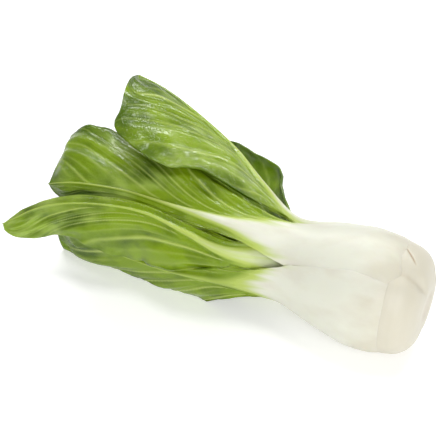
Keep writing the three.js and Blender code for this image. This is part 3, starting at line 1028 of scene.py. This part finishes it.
@dataclass(frozen=True)
class LeafFinish:
    """Finish of a leaf, whose colour runs from the white stalk to the green blade.

    A tone of 0 is the white stalk and 1 the green blade. A field that ends in _tones is the span of tones
    over which something comes in, one in _scale is a pattern's scale across and along the leaf's map, and
    one in _gain is what a noise is multiplied by, and what is then added, to make patches of it.
    """

    stalk: Triple = (0.76, 0.765, 0.655)
    base_tint: Triple = (0.66, 0.63, 0.515)
    pale_green: Triple = (0.47, 0.58, 0.11)
    green: Triple = (0.215, 0.335, 0.004)
    dark_green: Triple = (0.072, 0.136, 0.001)
    vein: Triple = (0.50, 0.61, 0.14)
    # Pale green of the bloom, which also serves as painted sheen on the blade.
    bloom_and_sheen: Triple = (0.40, 0.53, 0.115)

    pale_tones: Pair = (0.06, 0.45)
    green_tones: Pair = (0.40, 0.95)
    blade_tones: Pair = (0.5, 1.0)
    vein_tones: Pair = (0.1, 0.6)
    gloss_tones: Pair = (0.2, 0.8)

    streak_scale: Triple = (34.0, 2.2, 1.0)
    patch_scale: Triple = (7.0, 4.0, 1.0)
    cloud_scale: Triple = (9.0, 4.2, 1.0)
    cell_scale: float = 60.0
    cell_edge: float = 0.12
    streak_gain: Pair = (0.55, -0.275)
    mottle_gain: Pair = (2.6, -1.2)
    bloom_and_sheen_gain: Pair = (3.4, -1.75)
    dark_gain: Pair = (3.7, -1.72)
    bloom_and_sheen_limit: float = 0.85
    net_limit: float = 0.04

    roughness: float = 0.13
    stalk_roughness: float = 0.36
    patch_roughness: float = 0.1
    specular: float = 0.42
    translucency: float = 0.16
    bump: float = 0.45
    bump_height: float = 0.0004

    def material(self, name: str) -> bpy.types.Material:
        """Makes the material of one leaf.

        Args:
            name: The material's name.

        Returns:
            The material.
        """
        nodes = FinishNodes(name)
        nodes.soften(0.12, (0.6, 0.9, 0.25))
        nodes.shader.inputs["Specular IOR Level"].default_value = self.specular

        place = nodes.leaf_map()
        greenness = nodes.attribute("greenness")
        streaks = nodes.noise(place, self.streak_scale, 5.0)
        patches = nodes.noise(place, self.patch_scale, 3.0)
        net = nodes.cell_edges(place, self.cell_scale, self.cell_edge)
        tone = self._tone(nodes, greenness, streaks)
        colour = self._colour(nodes, place, tone, patches, net)
        nodes.link(colour, nodes.shader.inputs["Base Color"])
        nodes.shine_through(colour, self.translucency)

        gloss = nodes.ramp(tone, self.gloss_tones, (self.stalk_roughness, self.roughness))
        roughness = nodes.math("MULTIPLY_ADD", patches, self.patch_roughness, gloss)
        nodes.link(roughness, nodes.shader.inputs["Roughness"])

        height = nodes.math("MULTIPLY", nodes.math("MULTIPLY", net, 0.35), greenness)
        nodes.roughen(nodes.math("MULTIPLY_ADD", streaks, 0.35, height), self.bump, self.bump_height)
        return nodes.material

    def _tone(self, nodes: FinishNodes, greenness: Socket, streaks: Socket) -> Socket:
        """Greenness with streaks where the stalk passes into the blade.

        Args:
            nodes: The material's nodes.
            greenness: The smooth greenness.
            streaks: Noise drawn out along the leaf.

        Returns:
            The tone.
        """
        streaky = nodes.math("MULTIPLY_ADD", streaks, *self.streak_gain)
        streaky = nodes.math("MULTIPLY", streaky, nodes.ramp(greenness, (0.0, 0.16)))
        streaky = nodes.math("MULTIPLY", streaky, nodes.ramp(greenness, (0.3, 0.95), (1.0, 0.2)))
        return nodes.math("ADD", greenness, streaky)

    def _colour(
        self, nodes: FinishNodes, place: Socket, tone: Socket, patches: Socket, net: Socket
    ) -> Socket:
        """Colour of the leaf: stalk, greens, bloom and painted sheen, dark patches and painted shade, and
        veins laid over each other.

        Args:
            nodes: The material's nodes.
            place: The place on the leaf's map.
            tone: The tone.
            patches: Noise of the dark patches.
            net: The net of the finest veins.

        Returns:
            The colour.
        """
        clouds = nodes.noise(place, self.cloud_scale, 4.0)
        on_blade = nodes.ramp(tone, self.blade_tones)
        mottled = nodes.patchy(clouds, self.mottle_gain, nodes.attribute("warmth"))
        colour = nodes.mix(mottled, self.stalk, self.base_tint)
        colour = nodes.mix(nodes.ramp(tone, self.pale_tones), colour, self.pale_green)
        colour = nodes.mix(nodes.ramp(tone, self.green_tones), colour, self.green)

        # Pale patches: the leaf's own bloom, and painted sheen where the blade would shine.
        bloom_and_sheen_share = nodes.patchy(clouds, self.bloom_and_sheen_gain, nodes.attribute("bloom_and_sheen"))
        bloom_and_sheen_share = nodes.math("MULTIPLY", bloom_and_sheen_share, nodes.math("MULTIPLY", on_blade, self.bloom_and_sheen_limit))
        colour = nodes.mix(bloom_and_sheen_share, colour, self.bloom_and_sheen)

        # Dark patches at random, plus the painted shade of the furrows and the darker margins and tip from
        # the shade value.
        darker = nodes.math("MULTIPLY_ADD", patches, *self.dark_gain)
        darker = nodes.math("MULTIPLY", nodes.math("ADD", darker, nodes.attribute("shade")), on_blade)
        colour = nodes.mix(nodes.clamped(darker), colour, self.dark_green)

        finest = nodes.math("MULTIPLY", net, nodes.math("MULTIPLY", on_blade, self.net_limit))
        colour = nodes.mix(finest, colour, self.vein)
        veins = nodes.math("MULTIPLY", nodes.attribute("veins"), nodes.ramp(tone, self.vein_tones))
        return nodes.mix(veins, colour, self.vein)


@dataclass(frozen=True)
class CrownFinish:
    """Finish of the crown: pale, a little brown where it was cut, in its notches and in its crack."""

    colour: Triple = (0.56, 0.53, 0.43)
    cut: Triple = (0.30, 0.19, 0.09)
    roughness: float = 0.45
    grain: float = 160.0
    bump: float = 0.3
    bump_height: float = 0.0005

    def material(self, name: str) -> bpy.types.Material:
        """Makes the crown's material.

        Args:
            name: The material's name.

        Returns:
            The material.
        """
        nodes = FinishNodes(name)
        nodes.soften(0.15, (0.9, 0.8, 0.5))
        nodes.shader.inputs["Roughness"].default_value = self.roughness
        place = nodes.tree.nodes.new("ShaderNodeTexCoord").outputs["Object"]
        grain = nodes.noise(place, (self.grain, self.grain, self.grain), 6.0)
        stained = nodes.math("MULTIPLY", grain, nodes.attribute("stain"))
        nodes.link(nodes.mix(stained, self.colour, self.cut), nodes.shader.inputs["Base Color"])
        nodes.roughen(grain, self.bump, self.bump_height)
        return nodes.material


@dataclass
class Leaf:
    """One leaf, stalk and blade in one piece, with its veins raised and its margin waved.

    Attributes:
        sizes: The leaf's sizes.
        finish: Its finish.
        side_veins: How its side veins run.
        vein_height: Height of a side vein on the outer face, in mm.
        inner_veins: Share of that height on the inner face.
        puff: Height of the swellings between the veins, in mm.
        billow: Height of the slow waves over the blade, in mm.
        stalk_rows: Share of the rows that lie on the stalk.
        inner_shade: How much darker the inner face is.
        bloom_and_sheen_base: What the bloom and the painted sheen are lowered by everywhere.
    """

    sizes: LeafSizes
    finish: LeafFinish
    side_veins: SideVeins = SideVeins()
    vein_height: float = 0.65
    inner_veins: float = 0.4
    puff: float = 1.3
    billow: float = 0.8
    stalk_rows: float = 0.36
    inner_shade: float = 0.35
    bloom_and_sheen_base: float = 0.22

    def build(self) -> bpy.types.Object:
        """Makes the leaf's mesh, its map and its material.

        Returns:
            The leaf's object.
        """
        surface = LeafSurface(self.sizes)
        grid = self._grid(surface)
        veins = self.side_veins.over(surface, grid)
        made = self._mesh(self._faces(surface, grid, veins), self._values(surface, grid, veins), grid)
        self._dress(made)
        return made

    def _grid(self, surface: LeafSurface) -> LeafGrid:
        """Spreads rows and columns over the leaf. The rows run forward with the veins beside the midrib.

        Args:
            surface: The leaf's form.

        Returns:
            The grid.
        """
        stalk_rows = int(self.sizes.rows * self.stalk_rows)
        t = np.linspace(0.0, 1.0, self.sizes.rows - stalk_rows + 1)
        eased = mix(t, np.sin(t * np.pi / 2), 0.45)
        stalk_stations = surface.wing_start * np.linspace(0.0, 1.0, stalk_rows + 1)[:-1] ** 1.1
        stations = np.concatenate([stalk_stations, mix(surface.wing_start, surface.length, eased)])
        columns = np.linspace(-1.0, 1.0, self.sizes.columns + 1)
        start, across = np.meshgrid(stations, columns, indexing="ij")

        right = across >= 0
        on_stalk = start < surface.wing_start
        station = surface.blade_share(start)
        margin = mix(surface.wing_start, surface.length, 1.0 - (1.0 - station) ** VEIN_SWEEP)
        edge = np.where(on_stalk, surface.rib_half(start), surface.hinge(start, right))
        width = np.where(on_stalk, 0.0, surface.wing_width(margin, right))
        reach = np.abs(across) * (edge + width)
        in_wing = reach > edge
        outer = np.where(in_wing, (reach - edge) / np.maximum(width, 1e-6), 0.0)
        s = np.where(in_wing, mix(start, margin, outer**1.2), start)
        reach = np.where(in_wing, surface.hinge(s, right) + width * outer, reach)
        return LeafGrid(s, np.sign(across) * reach, station, outer, in_wing, right)

    def _faces(self, surface: LeafSurface, grid: LeafGrid, veins: VeinMap) -> np.ndarray:
        """Shapes the outer and the inner face, and keeps both off the table.

        Args:
            surface: The leaf's form.
            grid: Its grid.
            veins: Its side veins.

        Returns:
            The two faces as grids of points in mm.
        """
        form = self._swelling(grid, veins)
        raised = self.vein_height * veins.veins
        base = surface.point(grid.s, grid.y)
        normal = surface.normal(grid.s, grid.y)
        out = surface.relief(grid.s, grid.y) + form + raised
        outer = base + normal * out[..., None]
        inward = form + self.inner_veins * raised - surface.depth(grid.s, grid.y)
        inner = base + normal * inward[..., None]
        floor = self.sizes.lift * (1.0 - smoothstep(grid.s / surface.neck, 0.7, 1.0))
        outer[..., 2] = np.maximum(outer[..., 2], floor)
        inner[..., 2] = np.maximum(inner[..., 2], floor + LAMINA)
        return np.stack([outer, inner])

    def _swelling(self, grid: LeafGrid, veins: VeinMap) -> np.ndarray:
        """Swellings between the veins, and slow waves over the blade.

        Args:
            grid: The leaf's grid.
            veins: Its side veins.

        Returns:
            The heights in mm.
        """
        outer = grid.outer
        phase = self.sizes.phase
        swell = veins.pillow * smoothstep(outer, 0.0, 0.25) * (1.0 - 0.7 * outer)
        slow = wave(1.6 * veins.starts + 0.9 * outer + 1.3 * phase)
        slow = slow + 0.6 * wave(3.1 * veins.starts - 1.4 * outer + 2.1 * phase)
        slow = slow * smoothstep(outer, 0.02, 0.4) * (1.0 - smoothstep(outer, 0.85, 1.0))
        height = self.puff * swell + self.billow * slow
        return height * veins.ends * smoothstep(grid.station, 0.02, 0.2)

    def _values(self, surface: LeafSurface, grid: LeafGrid, veins: VeinMap) -> dict[str, np.ndarray]:
        """Values that the material reads at each place of the leaf.

        Args:
            surface: The leaf's form.
            grid: Its grid.
            veins: Its side veins.

        Returns:
            Each value's name and its grid.
        """
        s = grid.s
        outer = grid.outer
        u = surface.blade_share(s)
        share = surface.rib_share(s, grid.y)
        # Paleness along the blade: partly the leaf's bloom, partly painted sheen.
        bloom_and_sheen = along(self.sizes.bloom_and_sheen, u)

        near_neck = smoothstep(s - surface.neck, -40.0, 8.0)
        gain, start, end = self.sizes.rib_green
        on_rib = near_neck * (self.sizes.neck_green + 0.16 * share**3)
        on_rib = on_rib + gain * smoothstep(u, start, end) + 0.5 * share**2 * smoothstep(u, 0.03, 0.3)
        rise = 0.2 + 0.8 * smoothstep(outer, 0.0, 0.22)
        rise = rise * mix(0.72, 1.0, smoothstep(veins.starts, 0.0, 0.1))
        on_wing = mix(on_rib, 0.95, rise)

        midline = 0.7 * ridge(share, 0.45) * smoothstep(u, 0.25, 0.6) * (1.0 - 0.6 * u)
        # Painted shade in the furrows beside the veins. The blade is also darker towards its margins and
        # its tip.
        furrow_shade = (1.0 - veins.pillow) * (1.0 - veins.main) * veins.ends * smoothstep(outer, 0.05, 0.3)
        shade = 0.35 * smoothstep(outer, 0.65, 1.0) + 0.4 * smoothstep(u, 0.65, 1.0) * (1.0 - bloom_and_sheen)
        return {
            "greenness": np.where(grid.in_wing, on_wing, on_rib),
            "veins": np.where(grid.in_wing, veins.veins, midline),
            "shade": shade + 0.35 * furrow_shade,
            "bloom_and_sheen": bloom_and_sheen - self.bloom_and_sheen_base,
            "warmth": 1.0 - smoothstep(s / surface.neck, 0.04, 0.5),
        }

    def _mesh(self, faces: np.ndarray, values: dict[str, np.ndarray], grid: LeafGrid) -> bpy.types.Object:
        """Turns the two faces into one closed mesh.

        Args:
            faces: The outer and the inner face as grids of points in mm.
            values: Grids of what the material reads.
            grid: The leaf's grid.

        Returns:
            The leaf's object.
        """
        rows, columns = self.sizes.rows, self.sizes.columns
        bm = bmesh.new()
        layers = {name: bm.verts.layers.float.new(name) for name in values}
        leaf_map = bm.loops.layers.uv.new("leaf")
        bmesh.ops.create_grid(bm, x_segments=columns, y_segments=rows, size=1.0)
        outer_count = len(bm.verts)
        outer_faces = list(bm.faces)
        bmesh.ops.duplicate(bm, geom=[*bm.verts, *bm.edges, *bm.faces])
        bmesh.ops.reverse_faces(bm, faces=outer_faces)
        bmesh.ops.bridge_loops(bm, edges=[e for e in bm.edges if e.is_boundary])

        shift = np.array(HEAD_SHIFT)
        place = {}
        for index, v in enumerate(bm.verts):
            i = round((v.co.y + 1) / 2 * rows)
            j = round((v.co.x + 1) / 2 * columns)
            place[v] = (i, j)
            side = 0 if index < outer_count else 1
            v.co = Vector((faces[side, i, j] + shift) * MM)
            for name, layer in layers.items():
                v[layer] = float(values[name][i, j])
            v[layers["shade"]] += self.inner_shade * side
        for face in bm.faces:
            for loop in face.loops:
                i, j = place[loop.vert]
                loop[leaf_map].uv = (float(grid.y[i, j]) * MAP_PER_MM, float(grid.s[i, j]) * MAP_PER_MM)
        return placed(bm, self.sizes.name)

    def _dress(self, made: bpy.types.Object) -> None:
        """Gives the leaf its finish and its place among the parts.

        Args:
            made: The leaf's object.
        """
        made.data.materials.append(self.finish.material(self.sizes.name + "_finish"))
        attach(made, "root")
        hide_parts(self.sizes.name + "_stalk", self.sizes.name + "_blade")


@dataclass
class Crown:
    """The short stem that carries the leaves, with the trimmed butt and its cushions. Sizes in mm.

    Attributes:
        finish: The crown's finish.
        profile: Its outline from the middle of the butt to its growing tip, as radii and places along X.
        notches: Azimuths of the notches between the cushions, in degrees.
        notch_depth: Depth of a notch.
        notch_width: Half width of a notch, in degrees.
        rim: Radii between which the notches deepen.
        middle: Place along X that parts the butt from the side.
        cut_edge: Radii between which the brown of the cut ends.
        crack_ends: Places along X of the crack's two ends.
        crack_turns: Azimuths of the crack's two ends, in degrees.
        crack_width: Half width of the crack.
        crack_depth: Depth of the crack.
        crack_stain: How brown the crack is.
        cut_stain: How brown the cut is.
        seam_stain: How brown the middle of a notch is.
        seam_width: Half width of that brown, in degrees.
        segments: Number of faces round the crown.
        rings: Number of faces along it.
    """

    finish: CrownFinish
    profile: Pairs = (
        (0, 105.8), (4, 105.85), (8, 106), (12, 105.9), (17, 105), (21.2, 102.9), (24.2, 99.8), (25.7, 97),
        (26.3, 94.6), (26.8, 92.2), (26.8, 89.8), (24, 88.6), (16, 90), (9, 91), (6, 89.5), (4, 86.5),
        (3, 83), (0, 78),
    )
    notches: tuple[float, ...] = (71.0, 153.0, 277.0)
    notch_depth: float = 1.6
    notch_width: float = 9.0
    rim: Pair = (11.0, 20.0)
    middle: float = 98.5
    cut_edge: Pair = (5.0, 9.5)
    crack_ends: Pair = (90.6, 98.8)
    crack_turns: Pair = (105.4, 87.0)
    crack_width: float = 0.55
    crack_depth: float = 0.5
    crack_stain: float = 1.8
    cut_stain: float = 0.4
    seam_stain: float = 0.2
    seam_width: float = 3.0
    segments: int = 288
    rings: int = 96

    def build(self) -> bpy.types.Object:
        """Makes the crown's mesh and its material.

        Returns:
            The crown's object.
        """
        curve = Spline(tuple((radius, x, 0.0) for radius, x in self.profile))
        bm = bmesh.new()
        bmesh.ops.create_uvsphere(bm, u_segments=self.segments, v_segments=self.rings, radius=1.0)
        stain = bm.verts.layers.float.new("stain")
        for v in bm.verts:
            down = math.acos(max(-1.0, min(1.0, v.co.z))) / math.pi
            angle = math.atan2(v.co.y, v.co.x) % (2 * math.pi)
            radius, x, _ = curve.at(np.array([down]))[0]
            v.co, v[stain] = self._shaped(x, radius, angle)
        made = placed(bm, "crown_piece")
        self._dress(made)
        return made

    def _shaped(self, x: float, radius: float, angle: float) -> tuple[Vector, float]:
        """Where a point of the plain round crown comes to lie, and how brown it is.

        Args:
            x: Place along the axis.
            radius: Distance from the axis.
            angle: Azimuth in radians.

        Returns:
            The place in metres, and the stain.
        """
        turn = math.degrees(angle)
        turns = [abs(turn - notch) % 360 for notch in self.notches]
        apart = min(min(each, 360 - each) for each in turns)
        rim = smoothstep(radius, *self.rim)
        pinch = self.notch_depth * rim * ridge(apart, self.notch_width)
        end = pinch * smoothstep(x, self.middle - 5.0, self.middle + 3.0)
        crack = self._crack(x, radius, turn)
        away = max(radius, 0.0) - pinch - self.crack_depth * crack
        place = axis_at(x - end) + outward(angle) * away + np.array(HEAD_SHIFT)
        cut = 1.0 - smoothstep(radius, *self.cut_edge) if x > self.middle else 0.0
        seam = rim * ridge(apart, self.seam_width)
        stain = self.crack_stain * crack + max(self.cut_stain * cut, self.seam_stain * seam)
        return Vector(place * MM), float(stain)

    def _crack(self, x: float, radius: float, turn: float) -> float:
        """How much of the crack beside the top cushion is at a place of the crown.

        Args:
            x: Place along the axis.
            radius: Distance from the axis.
            turn: Azimuth in degrees.

        Returns:
            1 in the crack's middle, 0 away from it.
        """
        if radius <= 15.0:
            return 0.0
        first, last = self.crack_ends
        share = (x - first) / (last - first)
        line = mix(*self.crack_turns, share)
        apart = math.radians(turn - line) * radius
        ends = max(0.0, min(1.0, 4.0 * share, 4.0 * (1.0 - share)))
        return ends * float(ridge(apart, self.crack_width))

    def _dress(self, made: bpy.types.Object) -> None:
        """Gives the crown its finish and its place among the parts.

        Args:
            made: The crown's object.
        """
        made.data.materials.append(self.finish.material("crown_finish"))
        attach(made, "root")
        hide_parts("crown")


@dataclass(frozen=True)
class SoftLight:
    """A rectangular light that faces the head: its place and sides in metres, its power in watts."""

    name: str
    place: Triple
    sides: Pair
    power: float

    def build(self) -> None:
        """Adds the light to the scene."""
        data = bpy.data.lights.new(self.name, "AREA")
        data.shape = "RECTANGLE"
        data.size, data.size_y = self.sides
        data.energy = self.power
        light = bpy.data.objects.new(self.name, data)
        light.location = self.place
        light.rotation_euler = (-Vector(self.place)).to_track_quat("-Z", "Y").to_euler()
        bpy.context.scene.collection.objects.link(light)


@dataclass
class Studio:
    """The pale floor, the soft lights and the camera. Places in metres, angles in degrees."""

    floor_size: float = 6.0
    floor_colour: Triple = (0.93, 0.93, 0.93)
    floor_roughness: float = 0.9
    floor_glow: float = 0.22
    world_strength: float = 0.37
    lights: tuple[SoftLight, ...] = (
        SoftLight("key", (0.05, 0.0, 1.0), (0.26, 0.26), 2.2),
        SoftLight("fill", (0.55, -0.75, 0.58), (0.6, 0.6), 7.5),
        SoftLight("sheen", (-0.2, 0.66, 0.74), (1.2, 0.13), 8.0),
    )
    azimuth: float = 25.0
    elevation: float = 42.0
    distance: float = 0.583
    target: Triple = (0.00558, -0.02919, 0.05066)
    lens: float = 100.0
    sensor: float = 36.0

    def build(self) -> None:
        """Sets the floor, the lights and the camera."""
        self._floor()
        self._world()
        for light in self.lights:
            light.build()
        self._camera()

    def _floor(self) -> None:
        """Makes the plain floor."""
        bm = bmesh.new()
        bmesh.ops.create_grid(bm, x_segments=1, y_segments=1, size=self.floor_size / 2)
        mesh = bpy.data.meshes.new("floor")
        bm.to_mesh(mesh)
        bm.free()
        floor = bpy.data.objects.new("floor", mesh)
        bpy.context.scene.collection.objects.link(floor)
        nodes = FinishNodes("floor_finish")
        nodes.shader.inputs["Base Color"].default_value = (*self.floor_colour, 1.0)
        nodes.shader.inputs["Roughness"].default_value = self.floor_roughness
        nodes.shader.inputs["Emission Color"].default_value = (1.0, 1.0, 1.0, 1.0)
        nodes.shader.inputs["Emission Strength"].default_value = self.floor_glow
        mesh.materials.append(nodes.material)

    def _world(self) -> None:
        """Sets the light from all round."""
        world = bpy.data.worlds.new("studio")
        world.use_nodes = True
        background = world.node_tree.nodes["Background"]
        background.inputs["Color"].default_value = (1.0, 1.0, 1.0, 1.0)
        background.inputs["Strength"].default_value = self.world_strength
        bpy.context.scene.world = world
        bpy.context.scene.view_settings.view_transform = "Standard"

    def _camera(self) -> None:
        """Sets the camera where the photograph was taken from."""
        azimuth = math.radians(self.azimuth)
        elevation = math.radians(self.elevation)
        level = math.cos(elevation)
        back = Vector((math.sin(azimuth) * level, -math.cos(azimuth) * level, math.sin(elevation)))
        data = bpy.data.cameras.new("camera")
        data.lens = self.lens
        data.sensor_width = self.sensor
        camera = bpy.data.objects.new("camera", data)
        camera.location = Vector(self.target) + back * self.distance
        camera.rotation_euler = (-back).to_track_quat("-Z", "Y").to_euler()
        bpy.context.scene.collection.objects.link(camera)
        bpy.context.scene.camera = camera


def main() -> None:
    """Builds the head and its surroundings."""
    logging.basicConfig(level=logging.INFO, format="%(message)s")
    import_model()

    pieces = [Crown(CrownFinish()).build()]
    finish = LeafFinish()
    for sizes in LEAVES:
        pieces.append(Leaf(sizes, finish).build())
    for piece in pieces:
        log.info("%s: %d faces", piece.name, len(piece.data.polygons))
    Studio().build()

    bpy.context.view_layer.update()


if __name__ == "__main__":
    main()
